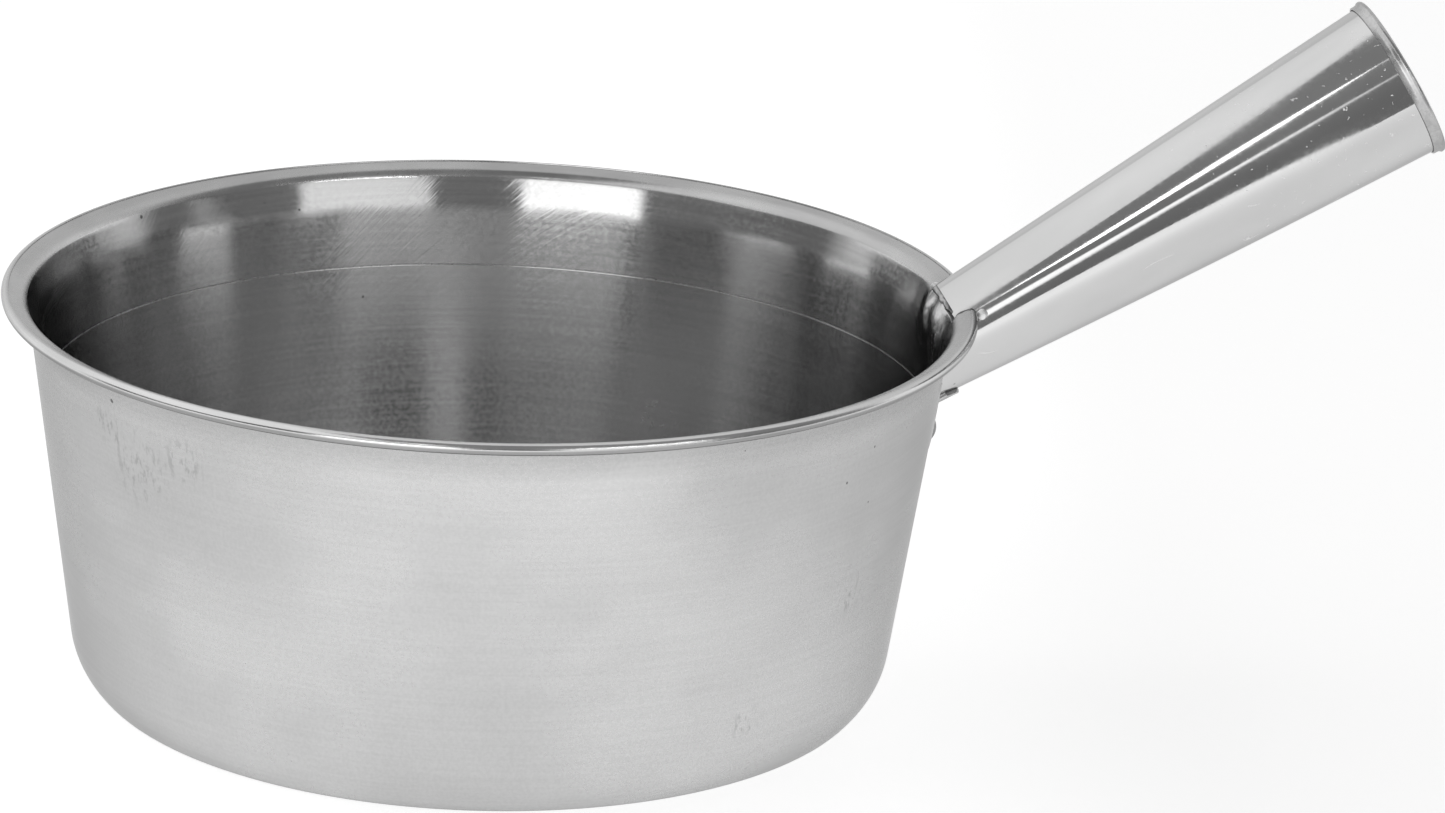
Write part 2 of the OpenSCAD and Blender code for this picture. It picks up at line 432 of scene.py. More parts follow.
def wall_outer_r(z):
    """The wall's outer radius at a height above its corner bends."""
    if z < CREASE_OUTER.y:
        return CREASE_OUTER.x - (CREASE_OUTER.y - z) * math.tan(math.radians(WALL_TILT))
    return CREASE_OUTER.x + (z - CREASE_OUTER.y) * math.tan(math.radians(COLLAR_TILT))


def saddle_t(side, inset):
    """Where the handle's surface meets the wall, or its square-cut upper edge."""
    square = on_handle(UPPER_CUT, side, handle_r(UPPER_CUT) - inset)
    if square.z > COLLAR_TOP.y:
        return UPPER_CUT
    low, high = -30.0, 30.0
    for _ in range(40):
        t = (low + high) / 2
        p = on_handle(t, side, handle_r(t) - inset)
        if math.hypot(p.x, p.y) > wall_outer_r(p.z) + GAP:
            high = t
        else:
            low = t
    return high


def handle_bulge(t, side):
    """The rolled sheet stands slightly proud along the underside."""
    return 0.45 * math.sin(math.pi * min(max(t / HANDLE_LEN, 0), 1)) * blend01(cos(side), -0.2, 1.0)


def seam(side):
    """The welded seam along the underside: a shallow groove between two low ridges."""
    away = abs((side + 180) % 360 - 180)
    return 0.12 * math.exp(-(((away - 2.2) / 1.2) ** 2)) - 0.28 * math.exp(-((away / 1.1) ** 2))


def build_handle():
    """The cone, outside and inside, cut to the wall at its root, with more columns at the seam."""
    sides = []
    side = 0.0
    while side < 360:
        sides.append(side)
        near_seam = min(side, 360 - side) < 6
        side += 0.6 if near_seam else 1.5
    starts = [saddle_t(a, 0) for a in sides]
    inner_starts = [saddle_t(a, HANDLE_SHEET) for a in sides]
    rows = 56
    vertices = []
    edge = 0.12
    crowding = 1.25
    for i in range(rows + 1):
        share = (i / rows) ** crowding
        for a, start in zip(sides, starts):
            t = mix(start + (edge if i == 0 else 0), TUBE_END, share)
            r = handle_r(t) + handle_bulge(t, a) + seam(a) * blend01(t, start, start + 3)
            vertices.append(on_handle(t, a, r))
    for i in range(rows + 1):
        share = 1 - (i / rows)
        for a, start in zip(sides, inner_starts):
            t = mix(start, TUBE_END, share)
            vertices.append(on_handle(t, a, handle_r(t) + handle_bulge(t, a) - HANDLE_SHEET))
    faces = ring_faces(2 * rows + 2, len(sides))
    last = (2 * rows + 1) * len(sides)
    for j in range(len(sides)):
        k = (j + 1) % len(sides)
        faces.append((last + j, last + k, k, j))
    faces = [f[::-1] for f in faces]
    return add_piece("handle_cone", vertices, faces, "handle_steel", "handle_tube", sharp=35.0)


def build_cap():
    """The pressed cap: a flared skirt with a rolled lip, a round edge and a slightly dished face."""
    skirt = HANDLE_LEN - CAP_SKIRT
    edge_r, face_dish = 0.75, 0.22
    edge = Vector((CAP_R - edge_r, HANDLE_LEN - edge_r))
    lip = handle_r(skirt) + handle_bulge(skirt, 0) + GAP
    rolled = [(0.0, 0.25), (0.08, 0.05), (0.3, 0.0), (0.48, 0.12), (0.5, 0.9), (0.56, 1.3)]
    outline = [Vector((lip + out, skirt + up)) for out, up in rolled]
    outline += arc(edge, edge_r, -20, 90, 9)
    dish = [(15.6, 0.0), (15.0, 0.04), (14.4, 0.14), (13.8, 0.2)]
    dish += [(r, face_dish) for r in (12.0, 8.0, 4.0)]
    outline += [Vector((r, HANDLE_LEN - drop)) for r, drop in dish]
    columns = 180
    vertices = []
    for p in outline:
        for j in range(columns):
            wobble = 0.05 * noise.noise(Vector((cos(j * 2) * 2, sin(j * 2) * 2, p.y)))
            vertices.append(on_handle(p.y, j * 360 / columns, p.x + (wobble if p.x > 14 else 0)))
    faces = [f[::-1] for f in ring_faces(len(outline), columns)]
    centre = len(vertices)
    vertices.append(on_handle(HANDLE_LEN - face_dish, 0, 0))
    last = (len(outline) - 1) * columns
    faces += [(centre, last + (j + 1) % columns, last + j) for j in range(columns)]
    back = len(vertices)
    for r in (lip + 0.02, 0.001):
        vertices += [on_handle(TUBE_END + GAP, j * 360 / columns, r) for j in range(columns)]
    for j in range(columns):
        k = (j + 1) % columns
        faces.append((k, j, back + j, back + k))
        faces.append((back + k, back + j, back + columns + j, back + columns + k))
    faces = [f[::-1] for f in faces]
    return add_piece("end_cap", vertices, faces, "cap_steel", "handle_end_cap", sharp=50.0)


# ---------------------------------------------------------------- bracket, rivets, welds


def on_wall(y, z, out):
    """A point over the wall's outer surface, out millimetres away from it."""
    r = wall_outer_r(z) + out / cos(WALL_TILT)
    return Vector((math.sqrt(r * r - y * y), y, z))


def bracket_half_width(z):
    """Half of the bracket's width at a height: round lower corners."""
    drop = BRACKET_LOW + BRACKET_CORNER_R - z
    if drop <= 0:
        return BRACKET_HALF_W
    corner = math.sqrt(max(BRACKET_CORNER_R ** 2 - drop ** 2, 0.0))
    return BRACKET_HALF_W - BRACKET_CORNER_R + corner


def bracket_tongue():
    """The bracket's tongue, wrapped round the handle's underside."""
    rows, columns, rounding = 10, 36, 4
    outline = [(0.0, GAP)]
    outline += [(0.5 * (1 - cos(90 * k / rounding)), GAP + BRACKET_T * sin(90 * k / rounding))
                for k in range(1, rounding + 1)]
    vertices, faces, sheets = [], [], []
    for pull, out in outline[::-1]:
        sheet = []
        for i in range(rows + 1):
            row = []
            for j in range(columns + 1):
                side = (TONGUE_HALF - pull * 4) * -cos(180 * j / columns)
                start = saddle_t(side, -out) - 0.6
                end = TONGUE_END - pull - 3.0 * blend01(abs(side), 0.7 * TONGUE_HALF, 1.05 * TONGUE_HALF)
                t = mix(start, end, math.sin(math.pi / 2 * i / rows))
                row.append(len(vertices))
                vertices.append(on_handle(t, side, handle_r(t) + handle_bulge(t, side) + out))
            sheet.append(row)
        sheets.append(sheet)
        if pull == 0.0 or out > GAP + BRACKET_T - TINY:
            for i in range(rows):
                for j in range(columns):
                    quad = (sheet[i][j], sheet[i + 1][j], sheet[i + 1][j + 1], sheet[i][j + 1])
                    faces.append(quad[::-1] if pull == 0.0 else quad)
    border = [(0, j) for j in range(columns + 1)] + [(i, columns) for i in range(1, rows + 1)]
    border += [(rows, j) for j in range(columns - 1, -1, -1)] + [(i, 0) for i in range(rows - 1, 0, -1)]
    for top, low in zip(sheets, sheets[1:]):
        for n, (a, b) in enumerate(border):
            c, d = border[(n + 1) % len(border)]
            faces.append((top[a][b], top[c][d], low[c][d], low[a][b]))
    return vertices, faces


def build_bracket():
    """The saddle plate on the wall, with a rounded outer edge, and its tongue."""
    rows, columns, rounding, edge_r = 40, 30, 5, 0.45
    vertices, faces, sheets = [], [], []
    layers = [(0.0, GAP)]
    layers += [(1 - cos(90 * k / rounding), GAP + BRACKET_T * sin(90 * k / rounding))
               for k in range(1, rounding + 1)]
    for pull, out in layers[::-1]:
        sheet = []
        for i in range(rows + 1):
            share = (1 - cos(180 * i / rows)) / 2
            z = mix(BRACKET_LOW + edge_r * pull, BRACKET_HIGH, share)
            row = []
            for j in range(columns + 1):
                y = (bracket_half_width(z) - edge_r * pull) * -cos(180 * j / columns)
                row.append(len(vertices))
                vertices.append(on_wall(y, z, out))
            sheet.append(row)
        sheets.append(sheet)
        if pull == 0.0 or out > GAP + BRACKET_T - TINY:
            for i in range(rows):
                for j in range(columns):
                    quad = (sheet[i][j], sheet[i][j + 1], sheet[i + 1][j + 1], sheet[i + 1][j])
                    faces.append(quad if pull else quad[::-1])
    border = [(0, j) for j in range(columns + 1)] + [(i, columns) for i in range(1, rows + 1)]
    border += [(rows, j) for j in range(columns - 1, -1, -1)] + [(i, 0) for i in range(rows - 1, 0, -1)]
    for top, low in zip(sheets, sheets[1:]):
        for n, (a, b) in enumerate(border):
            c, d = border[(n + 1) % len(border)]
            faces.append((top[a][b], low[a][b], low[c][d], top[c][d]))
    more, loops = bracket_tongue()
    faces += [tuple(len(vertices) + v for v in f) for f in loops]
    vertices += more
    return add_piece("wall_bracket", vertices, faces, "bracket_steel", "handle_bracket", sharp=50.0)


def build_rivets():
    """Two domed rivets: a large head outside and a flatter one inside."""
    wall_r = wall_outer_r(RIVET_Z)
    turn_to = math.degrees(math.asin(RIVET_GAP / 2 / wall_r))
    vertices, faces = [], []
    columns = 40
    for sign in (-1, 1):
        spin = Matrix.Rotation(math.radians(sign * turn_to), 4, "Z")
        spin = spin @ Matrix.Translation((wall_r, 0, RIVET_Z))
        spin = spin @ Matrix.Rotation(math.radians(90 + WALL_TILT), 4, "Y")
        outline = []
        for height, seat, way in ((RIVET_TAIL_H, 2 * HALF + GAP, -1), (RIVET_HEAD_H, BRACKET_T + GAP, 1)):
            ball_r = (RIVET_HEAD_R ** 2 + height ** 2) / (2 * height)
            turns = [math.degrees(math.asin(RIVET_HEAD_R / ball_r)) * k / 9 for k in range(1, 10)]
            dome = [(ball_r * sin(a), way * (seat + height - ball_r * (1 - cos(a)))) for a in turns]
            foot = [(RIVET_HEAD_R - 0.06, way * (seat - 0.02)), (1.6, way * (seat - 0.02))]
            outline.append(dome + foot if way < 0 else (dome + foot)[::-1])
        points = outline[0] + outline[1]
        start = len(vertices)
        low = spin @ Vector((0, 0, -(2 * HALF + GAP + RIVET_TAIL_H)))
        high = spin @ Vector((0, 0, BRACKET_T + GAP + RIVET_HEAD_H))
        for r, z in points:
            for j in range(columns):
                bump = 1 + 0.012 * noise.noise(Vector((cos(j * 9), sin(j * 9), z + sign)))
                a = j * 360 / columns
                vertices.append(spin @ Vector((r * bump * cos(a), r * bump * sin(a), z)))
        faces += [tuple(start + v for v in f) for f in ring_faces(len(points), columns)]
        low_at, high_at = len(vertices), len(vertices) + 1
        vertices += [low, high]
        last = start + (len(points) - 1) * columns
        for j in range(columns):
            k = (j + 1) % columns
            faces.append((low_at, start + k, start + j))
            faces.append((high_at, last + j, last + k))
    return add_piece("rivets", vertices, faces, "rivet_steel", "bracket_rivets", sharp=40.0)


def bead(path, start_radius, end_radius, seed):
    """An uneven weld bead along a path, with closed, round ends."""
    columns = 24
    vertices = []
    total = len(path) - 1
    for i, p in enumerate(path):
        along = (path[min(i + 1, total)] - path[max(i - 1, 0)]).normalized()
        a = along.cross(Vector((0, 0, 1)) if abs(along.z) < 0.8 else Vector((1, 0, 0))).normalized()
        b = along.cross(a)
        share = i / total
        end = math.sqrt(max(1 - (2 * share - 1) ** 6, 0.0004))
        for j in range(columns):
            turn = j * 360 / columns
            lump = noise.noise(p * 0.8 + Vector((cos(turn), sin(turn), seed)) * 0.8)
            r = mix(start_radius, end_radius, share) * end * (1 + 0.3 * lump)
            vertices.append(p + a * (r * cos(turn)) + b * (r * sin(turn)))
    faces = ring_faces(total + 1, columns)
    start, finish = len(vertices), len(vertices) + 1
    vertices += [path[0], path[-1]]
    last = total * columns
    for j in range(columns):
        k = (j + 1) % columns
        faces.append((start, k, j))
        faces.append((finish, last + j, last + k))
    return vertices, [f[::-1] for f in faces]


def build_welds():
    """The weld along the handle's upper edge, one from the flange's free end, and one at its other end."""
    edge_r = handle_r(UPPER_CUT) - HANDLE_SHEET / 2
    upper = []
    for i in range(91):
        side = 180 + mix(-48, 56, i / 90)
        jag = 0.35 * noise.noise(Vector((side * 0.16, 2.0, 0.0)))
        upper.append(on_handle(UPPER_CUT - 0.35 + jag, side, edge_r - 0.35))
    free_end = line(Vector((99.6, -15.6, POT_H - 1.2)), Vector((101.2, -9.4, POT_H - 2.6)), 40)
    other_end = line(Vector((93.6, 4.9, POT_H - 1.2)), Vector((94.9, 6.6, POT_H - 1.6)), 24)
    vertices, faces = [], []
    for path, start_radius, end_radius, seed in (
        (upper, 0.62, 0.62, 1.0), (free_end, 1.15, 0.8, 4.0), (other_end, 0.75, 0.75, 6.0)
    ):
        more, loops = bead(path, start_radius, end_radius, seed)
        faces += [tuple(len(vertices) + v for v in f) for f in loops]
        vertices += more
    return add_piece("weld_beads", vertices, faces, "weld_steel", "joint_welds", sharp=60.0)


# ---------------------------------------------------------------- shader helpers


class Graph:
    """Makes and links the nodes of one material or world."""

    def __init__(self, tree):
        self.tree = tree

    def add(self, kind, inputs=None, **settings):
        node = self.tree.nodes.new(kind)
        for name, value in settings.items():
            setattr(node, name, value)
        for name, value in (inputs or {}).items():
            self.put(node.inputs[name], value)
        return node

    def put(self, socket, value):
        if isinstance(value, bpy.types.NodeSocket):
            self.tree.links.new(value, socket)
        else:
            socket.default_value = value

    def math(self, operation, a, b=0.0, clamp=False):
        return self.add("ShaderNodeMath", {0: a, 1: b}, operation=operation, use_clamp=clamp).outputs[0]

    def dot(self, vector, direction):
        node = self.add("ShaderNodeVectorMath", {0: vector, 1: direction}, operation="DOT_PRODUCT")
        return node.outputs["Value"]

    def ramp(self, x, low, high, start=0.0, end=1.0):
        """start where x is below low, end where it is above high, smooth between them."""
        node = self.add("ShaderNodeMapRange", {0: x, 1: low, 2: high, 3: start, 4: end},
                        interpolation_type="SMOOTHSTEP")
        return node.outputs[0]

    def vary(self, pattern, low, high):
        """Turns a noise, which mostly lies between 0.3 and 0.7, into a value between low and high."""
        return self.ramp(pattern, 0.3, 0.7, low, high)

    def band(self, x, low, high, soft):
        """1 where x is between low and high, 0 outside."""
        return self.math("MULTIPLY", self.ramp(x, low - soft, low + soft),
                         self.ramp(x, high - soft, high + soft, 1.0, 0.0))

    def product(self, *values):
        result = values[0]
        for value in values[1:]:
            result = self.math("MULTIPLY", result, value)
        return result

    def total(self, *values):
        result = values[0]
        for value in values[1:]:
            result = self.math("ADD", result, value)
        return result

    def stretched(self, vector, scale):
        return self.add("ShaderNodeVectorMath", {0: vector, 1: scale}, operation="MULTIPLY").outputs[0]

    def noise(self, vector, scale=1.0, detail=2.0, roughness=0.5, distortion=0.0):
        node = self.add("ShaderNodeTexNoise", {"Vector": vector, "Scale": scale, "Detail": detail,
                                               "Roughness": roughness, "Distortion": distortion})
        return node.outputs[0]

    def grey(self, value):
        return self.add("ShaderNodeCombineColor", {0: value, 1: value, 2: value}).outputs[0]

    def bump(self, height, distance):
        return self.add("ShaderNodeBump", {"Height": height, "Distance": distance}).outputs[0]


def new_steel(name, anisotropic=0.0):
    """A metal material: its graph, its shader node and the position on the object in metres.

    Where anisotropic is not 0, the metal is brushed round the pot's axis.
    """
    material = bpy.data.materials.new(name)
    material.use_nodes = True
    graph = Graph(material.node_tree)
    shader = material.node_tree.nodes["Principled BSDF"]
    shader.inputs["Metallic"].default_value = 1.0
    shader.inputs["Specular Tint"].default_value = (0.6, 0.6, 0.6, 1)
    if anisotropic:
        shader.inputs["Anisotropic"].default_value = anisotropic
        shader.inputs["Anisotropic Rotation"].default_value = 0.25
        tangent = graph.add("ShaderNodeTangent", direction_type="RADIAL", axis="Z")
        graph.put(shader.inputs["Tangent"], tangent.outputs[0])
    where = graph.add("ShaderNodeTexCoord").outputs["Object"]
    return material, graph, shader, where


def specks(g, where, density, size, share):
    """Small dark pits: one in some of the cells of a grid, each with its own size. 1 in a pit."""
    cells = g.add("ShaderNodeTexVoronoi", {"Vector": where, "Scale": density, "Randomness": 1.0})
    pick = g.add("ShaderNodeSeparateColor", {0: cells.outputs["Color"]}).outputs[0]
    radius = g.ramp(pick, 1 - share, 1.0, 0.0, size * density)
    return g.math("LESS_THAN", cells.outputs["Distance"], radius)


def hairlines(g, where, scale, width, keep, detail=1.5):
    """Thin winding scratches: the level lines of a noise, kept only in patches. 1 on a scratch."""
    level = g.math("ABSOLUTE", g.math("SUBTRACT", g.noise(where, scale, detail), 0.5))
    thin = g.ramp(level, width * 0.4, width, 1.0, 0.0)
    patches = g.ramp(g.noise(where, scale * 1.7, 1.0), keep, keep + 0.04)
    return g.product(thin, patches)


def spot(g, where, centre, reach):
    """1 at a place on the object, falling to 0 at reach from it."""
    away = g.add("ShaderNodeVectorMath", {0: where, 1: centre}, operation="DISTANCE").outputs["Value"]
    return g.ramp(away, reach * 0.25, reach, 1.0, 0.0)


def on_pot(phi, z, inside=False):
    """A place on the pot's wall in metres, from its azimuth and height in millimetres."""
    r = wall_outer_r(z) - (2 * HALF if inside else 0)
    return Vector((r * cos(phi), r * sin(phi), z)) * MM


# ---------------------------------------------------------------- materials


# Rubbed places on the outside: azimuth and height in millimetres, reach in metres.
RUBBED_PLACES = (
    (-145, 64, 0.012), (-137, 68, 0.007), (-151, 70, 0.006), (-42, 37, 0.006), (-60, 16, 0.005)
)

# The ring scribed round the inside: its height and half of its width in metres.
SCRIBED_Z = 0.0612
SCRIBED_HALF_W = 0.00022


def steel_outside():
    """Satin sheet: fine lines round the pot, mottled tone, pits, rubbed places, and painted shade under the
    rim.
    """
    material, g, shader, where = new_steel("satin_outside", 0.35)
    round_lines = g.noise(g.stretched(where, (28, 28, 1500)), 1.0, 3.0, 0.6)
    slanted = g.noise(g.stretched(where, (900, 900, 420)), 1.0, 2.0, 0.6)
    grain = g.noise(where, 1500, 2.0)
    clouds = g.noise(g.stretched(where, (16, 16, 22)), 1.0, 3.0, 0.55)
    height = g.dot(where, (0, 0, 1))
    near_rim = g.ramp(height, 0.062, 0.078)
    pits = g.math("MAXIMUM", specks(g, where, 75, 0.00055, 0.35), specks(g, where, 160, 0.0003, 0.2))
    streaks = g.ramp(g.noise(g.stretched(where, (700, 700, 260)), 1.0, 3.0, 0.7), 0.5, 0.64)
    places = [spot(g, where, on_pot(phi, z), reach) for phi, z, reach in RUBBED_PLACES]
    mark = g.product(g.math("ADD", g.total(*places), 0.0, clamp=True), streaks)
    tone = g.total(0.565, g.vary(clouds, -0.04, 0.04), g.vary(round_lines, -0.012, 0.012),
                   g.vary(grain, -0.02, 0.02))
    # Painted shade under the rim: the wall is darkened, patchily, from 72.5 mm up to the rim.
    painted_rim_shade = g.product(g.ramp(height, 0.0725, 0.0795), g.ramp(clouds, 0.35, 0.6, 0.6, 1.0))
    # The rubbed places (wear) and the painted shade under the rim are taken off the tone.
    wear_and_painted_shade = g.total(g.math("MULTIPLY", mark, 0.09), g.math("MULTIPLY", painted_rim_shade, 0.11))
    tone = g.math("SUBTRACT", tone, wear_and_painted_shade)
    tone = g.math("MULTIPLY", tone, g.ramp(pits, 0.0, 1.0, 1.0, 0.35))
    g.put(shader.inputs["Base Color"], g.grey(tone))
    rough = g.total(0.3, g.vary(clouds, 0.05, -0.04), g.vary(grain, -0.04, 0.04),
                    g.math("MULTIPLY", near_rim, -0.04), g.math("MULTIPLY", mark, 0.2))
    g.put(shader.inputs["Roughness"], rough)
    relief = g.total(g.math("MULTIPLY", round_lines, 0.2), g.product(slanted, near_rim, 0.8),
                     g.math("MULTIPLY", pits, -4.0))
    g.put(shader.inputs["Normal"], g.bump(relief, 0.00002))
    return material


def steel_rim():
    """The flange and curl: satin with fine lines round it, a painted highlight on the curl, painted shade
    on the curl's underside and a painted dark line of shade at the free end.
    """
    material, g, shader, where = new_steel("satin_rim")
    lines = g.noise(g.stretched(where, (60, 60, 900)), 1.0, 3.0, 0.6)
    grain = g.noise(where, 1200, 2.0)
    clouds = g.noise(where, 35, 3.0)
    pits = specks(g, where, 110, 0.0003, 0.3)
    tip = Vector((TIP_X * cos(TIP_TURN), -TIP_X * sin(TIP_TURN), 0)) * MM
    flat = g.stretched(where, (1, 1, 0))
    from_tip = g.add("ShaderNodeVectorMath", {0: flat, 1: tip}, operation="DISTANCE").outputs["Value"]
    past_tip = g.ramp(g.dot(flat, (sin(TIP_TURN), cos(TIP_TURN), 0)), -0.0002, 0.0003)
    # Painted shade: a dark line round the flange's rounded free end, standing in for the shade in the gap
    # to the handle.
    painted_tip_shade = g.product(past_tip, g.ramp(from_tip, TIP_R * MM - 0.0017, TIP_R * MM - 0.0012),
                      g.ramp(from_tip, 0.01, 0.011, 1.0, 0.0))
    radius = g.add("ShaderNodeVectorMath", {0: flat}, operation="LENGTH").outputs["Value"]
    curled = g.ramp(radius, 0.0985, 0.0993)
    # Painted highlight: the curl is made 0.17 lighter than the flange.
    tone = g.total(0.5, g.math("MULTIPLY", curled, 0.17), g.vary(clouds, -0.05, 0.04),
                   g.vary(lines, -0.02, 0.02))
    # Painted shade: the curl's lower half, below its centre, is darkened.
    low = g.ramp(g.dot(where, (0, 0, 1)), (CURL.y - 0.3) * MM, (CURL.y + 0.4) * MM, 1.0, 0.0)
    painted_curl_shade = g.product(low, curled)
    tone = g.product(tone, g.ramp(painted_tip_shade, 0.0, 1.0, 1.0, 0.2), g.ramp(painted_curl_shade, 0.0, 1.0, 1.0, 0.5))
    g.put(shader.inputs["Base Color"], g.grey(g.math("MULTIPLY", tone, g.ramp(pits, 0.0, 1.0, 1.0, 0.4))))
    g.put(shader.inputs["Roughness"], g.total(g.ramp(curled, 0.0, 1.0, 0.25, 0.15),
                                              g.vary(clouds, -0.04, 0.06),
                                              g.vary(grain, -0.03, 0.03)))
    g.put(shader.inputs["Normal"], g.bump(g.total(g.math("MULTIPLY", lines, 0.5), grain), 0.000008))
    return material


def steel_inside():
    """The spun inside: lines round the wall, a scribed ring, slanted polishing marks and scratches."""
    material, g, shader, where = new_steel("spun_inside", 0.75)
    shader.inputs["Specular Tint"].default_value = (0.9, 0.9, 0.9, 1)
    height = g.dot(where, (0, 0, 1))
    round_lines = g.noise(g.stretched(where, (22, 22, 1300)), 1.0, 3.0, 0.6)
    grain = g.noise(where, 1100, 2.0)
    clouds = g.noise(g.stretched(where, (20, 20, 9)), 1.0, 2.0, 0.5)
    across = g.dot(where, (0.8, 0.6, 0.0))
    slant = g.add("ShaderNodeCombineXYZ", {0: g.math("ADD", across, height),
                                           1: g.math("SUBTRACT", across, height)}).outputs[0]
    ripples = g.noise(g.stretched(slant, (95, 900, 1)), 1.0, 2.0, 0.5, 0.4)
    worked = g.product(g.ramp(height, 0.048, 0.066), g.ramp(g.noise(where, 24, 2.0), 0.46, 0.58))
    off_ring = g.math("ABSOLUTE", g.math("SUBTRACT", height, SCRIBED_Z))
    scribed = g.ramp(off_ring, 0.00008, SCRIBED_HALF_W, 1.0, 0.0)
    pits = specks(g, where, 135, 0.0005, 0.35)
    near_joint = spot(g, where, on_pot(-3, 64, True), 0.022)
    upright = g.product(near_joint, hairlines(g, g.stretched(where, (1, 1, 0.16)), 260, 0.009, 0.45))
    low_behind = spot(g, where, on_pot(57, 32, True), 0.009)
    squiggle = g.product(low_behind, hairlines(g, where, 300, 0.012, 0.4), 0.3)
    scratch = g.math("ADD", g.math("MULTIPLY", upright, 0.35), squiggle, clamp=True)
    tone = g.total(0.51, g.vary(clouds, -0.05, 0.05), g.vary(round_lines, -0.02, 0.02),
                   g.math("MULTIPLY", scribed, 0.04), g.math("MULTIPLY", scratch, 0.3))
    g.put(shader.inputs["Base Color"], g.grey(g.math("MULTIPLY", tone, g.ramp(pits, 0.0, 1.0, 1.0, 0.3))))
    g.put(shader.inputs["Roughness"], g.total(0.145, g.vary(round_lines, -0.01, 0.014),
                                              g.vary(grain, -0.03, 0.03),
                                              g.math("MULTIPLY", scribed, 0.15),
                                              g.math("MULTIPLY", scratch, 0.4)))
    relief = g.total(g.math("MULTIPLY", round_lines, 0.08), g.product(ripples, worked, 1.2),
                     g.math("MULTIPLY", pits, -2.0), g.math("MULTIPLY", scribed, -0.8))
    g.put(shader.inputs["Normal"], g.bump(relief, 0.00002))
    return material


def steel_handle():
    """Polished sheet: nearly a mirror, with fine lines along it, scratches and pits."""
    material, g, shader, where = new_steel("polished_handle")
    local = g.add("ShaderNodeVectorMath", {0: where, 1: ORIGIN * MM}, operation="SUBTRACT").outputs[0]
    t = g.dot(local, AXIS)
    own = g.add("ShaderNodeCombineXYZ", {0: g.dot(local, UNDER), 1: g.dot(local, SIDE), 2: t}).outputs[0]
    lines = g.noise(g.stretched(own, (700, 700, 25)), 1.0, 2.0, 0.5)
    clouds = g.noise(g.stretched(own, (60, 60, 25)), 1.0, 3.0, 0.5)
    grain = g.noise(own, 900, 2.0)
    far_half = g.ramp(t, 0.045, 0.075)
    long_scratches = hairlines(g, g.stretched(own, (1, 1, 0.25)), 160, 0.005, 0.64)
    nicks = g.product(far_half, hairlines(g, own, 480, 0.02, 0.66))
    scratch = g.math("ADD", long_scratches, nicks, clamp=True)
    pits = specks(g, own, 130, 0.0004, 0.25)
    tone = g.total(0.62, g.vary(clouds, -0.03, 0.03), g.math("MULTIPLY", scratch, 0.2))
    g.put(shader.inputs["Base Color"], g.grey(g.math("MULTIPLY", tone, g.ramp(pits, 0.0, 1.0, 1.0, 0.5))))
    g.put(shader.inputs["Roughness"], g.total(0.065, g.vary(clouds, -0.02, 0.04),
                                              g.vary(grain, -0.015, 0.015),
                                              g.math("MULTIPLY", scratch, 0.45)))
    g.put(shader.inputs["Normal"], g.bump(g.total(lines, g.math("MULTIPLY", grain, 0.6)), 0.0000025))
    return material


def steel_small(name, tone, rough, lump):
    """The small parts: tone and roughness vary, with tool marks and grain."""
    material, g, shader, where = new_steel(name)
    clouds = g.noise(where, 180, 3.0)
    grain = g.noise(where, 1500, 2.0)
    pits = specks(g, where, 420, 0.0002, 0.3)
    value = g.total(tone, g.vary(clouds, -0.07, 0.07), g.vary(grain, -0.03, 0.03))
    g.put(shader.inputs["Base Color"], g.grey(g.math("MULTIPLY", value, g.ramp(pits, 0.0, 1.0, 1.0, 0.5))))
    g.put(shader.inputs["Roughness"], g.total(rough, g.vary(clouds, -0.06, 0.08)))
    g.put(shader.inputs["Normal"], g.bump(g.total(clouds, g.math("MULTIPLY", grain, 0.3)), lump))
    return material


def steel_weld():
    """Weld metal: grey and rough along the handle's edge, with painted highlights at the flange's ends."""
    material, g, shader, where = new_steel("weld_metal")
    clouds = g.noise(where, 420, 3.0)
    # Painted highlights: two spots at the flange's ends are made lighter and rougher.
    bright = g.math("MAXIMUM", spot(g, where, Vector((99.8, -14.6, POT_H - 1.0)) * MM, 0.005),
                    spot(g, where, Vector((94.2, 5.8, POT_H - 1.4)) * MM, 0.0024))
    tone = g.total(0.44, g.vary(clouds, -0.1, 0.1), g.math("MULTIPLY", bright, 0.5))
    g.put(shader.inputs["Base Color"], g.grey(tone))
    g.put(shader.inputs["Roughness"], g.total(0.42, g.vary(clouds, -0.05, 0.08),
                                              g.math("MULTIPLY", bright, 0.2)))
    g.put(shader.inputs["Normal"], g.bump(clouds, 0.00005))
    return material


# ---------------------------------------------------------------- studio

# The camera stands this far round from the front, so that the handle's far end turns away from it.
CAMERA_TURN = -8.0
CAMERA_SIDE = Matrix.Rotation(math.radians(CAMERA_TURN), 3, "Z")


def glow(name, radiance):
    """A material that only glows."""
    material = bpy.data.materials.new(name)
    material.use_nodes = True
    shader = material.node_tree.nodes["Principled BSDF"]
    shader.inputs["Base Color"].default_value = (0, 0, 0, 1)
    shader.inputs["Specular IOR Level"].default_value = 0.0
    shader.inputs["Emission Color"].default_value = (1, 1, 1, 1)
    shader.inputs["Emission Strength"].default_value = radiance
    return material


def add_panel(name, corners, radiance):
    """A glowing card, seen in reflections but not by the camera.

    corners are (right, away from the camera, up) in metres, as the camera stands.
    """
    mesh = bpy.data.meshes.new(name)
    mesh.from_pydata([CAMERA_SIDE @ Vector(c) for c in corners], [], [(0, 1, 2, 3)])
    mesh.materials.append(glow(name + "_glow", radiance))
    panel = bpy.data.objects.new(name, mesh)
    bpy.context.scene.collection.objects.link(panel)
    panel.visible_camera = False


